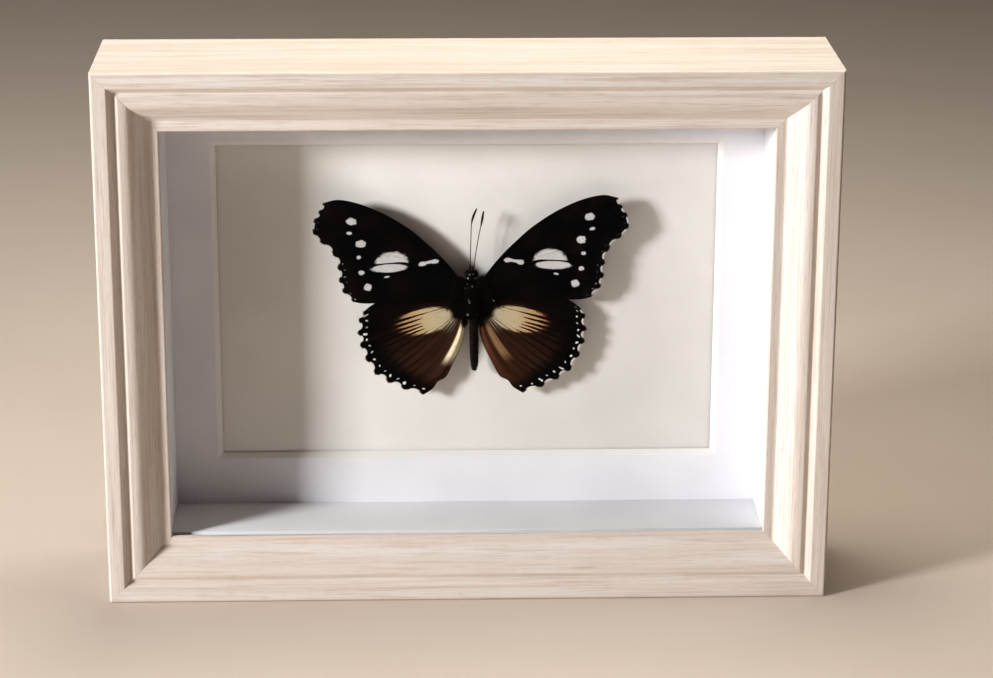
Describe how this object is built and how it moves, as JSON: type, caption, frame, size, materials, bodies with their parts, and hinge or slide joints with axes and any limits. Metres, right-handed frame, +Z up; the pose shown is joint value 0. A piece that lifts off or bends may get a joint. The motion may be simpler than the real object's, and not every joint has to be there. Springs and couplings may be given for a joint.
{
  "type": "framed butterfly specimen",
  "caption": "Deep glazed wooden box frame that stands on its bottom rail and shows a spread butterfly on a pale backing inside a bevelled mat.",
  "frame": {"origin": "middle of the underside of the bottom rail, which is the bottom centre of the whole box frame", "axes": "+Z up, +X across the frame to the viewer's right, the glazed front faces -Y"},
  "size_m": [0.208, 0.043, 0.157],
  "materials": {
    "wood": "pale whitewashed straight grain, satin",
    "glass": "clear picture glass",
    "white_board": "matt cool white board",
    "backing": "matt warm off-white card",
    "hardboard": "pressed brown fibreboard",
    "steel": "zinc-plated sheet",
    "cork": "fine cork",
    "chitin": "black, hairy, with small white dots",
    "forewing": "black scales with white spots",
    "hindwing": "brown-black scales with a cream patch and white marginal dots"
  },
  "bodies": {
    "root": {"rail_bottom": "wood", "rail_top": "wood", "rail_left": "wood", "rail_right": "wood", "glass_pane": "glass", "liner_bottom": "white_board", "liner_top": "white_board", "liner_left": "white_board", "liner_right": "white_board", "mat_board": "white_board", "backing_card": "backing", "back_panel": "hardboard", "tab_bottom_1": "steel", "tab_bottom_2": "steel", "tab_top_1": "steel", "tab_top_2": "steel", "tab_left_1": "steel", "tab_right_1": "steel", "hanger": "steel", "hanger_nail_left": "steel", "hanger_nail_right": "steel", "mount_block": "cork", "butterfly_body": "chitin", "antenna_left": "chitin", "antenna_right": "chitin", "forewing_left": "forewing", "forewing_right": "forewing", "hindwing_left": "hindwing", "hindwing_right": "hindwing"}
  },
  "joints": []
}
